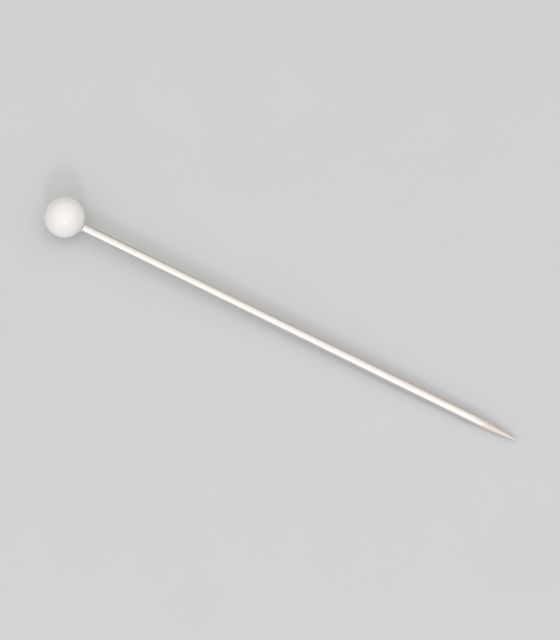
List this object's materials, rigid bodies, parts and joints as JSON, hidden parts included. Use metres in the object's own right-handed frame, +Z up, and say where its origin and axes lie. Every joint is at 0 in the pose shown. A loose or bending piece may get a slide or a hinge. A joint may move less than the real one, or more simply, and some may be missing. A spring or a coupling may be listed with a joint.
{
  "type": "straight pin",
  "caption": "Fine sewing pin: a straight steel wire ground to a long point, with a round bead of opaque white glass melted on its blunt end.",
  "frame": {"origin": "on the surface the pin lies on, below the middle of its box", "axes": "+X towards the point, +Z up; the pin lies on its bead and on the shoulder of its point, so the wire slopes down towards the point by 1.5 degrees"},
  "size_m": [0.034, 0.0026, 0.0027],
  "materials": {
    "drawn_steel": "bright drawn wire with fine lengthwise lines, ground at the point",
    "white_glass": "opaque white glass, smooth and glossy as it cooled"
  },
  "bodies": {
    "root": {"steel_shaft": "drawn_steel", "glass_head": "white_glass"}
  },
  "joints": []
}
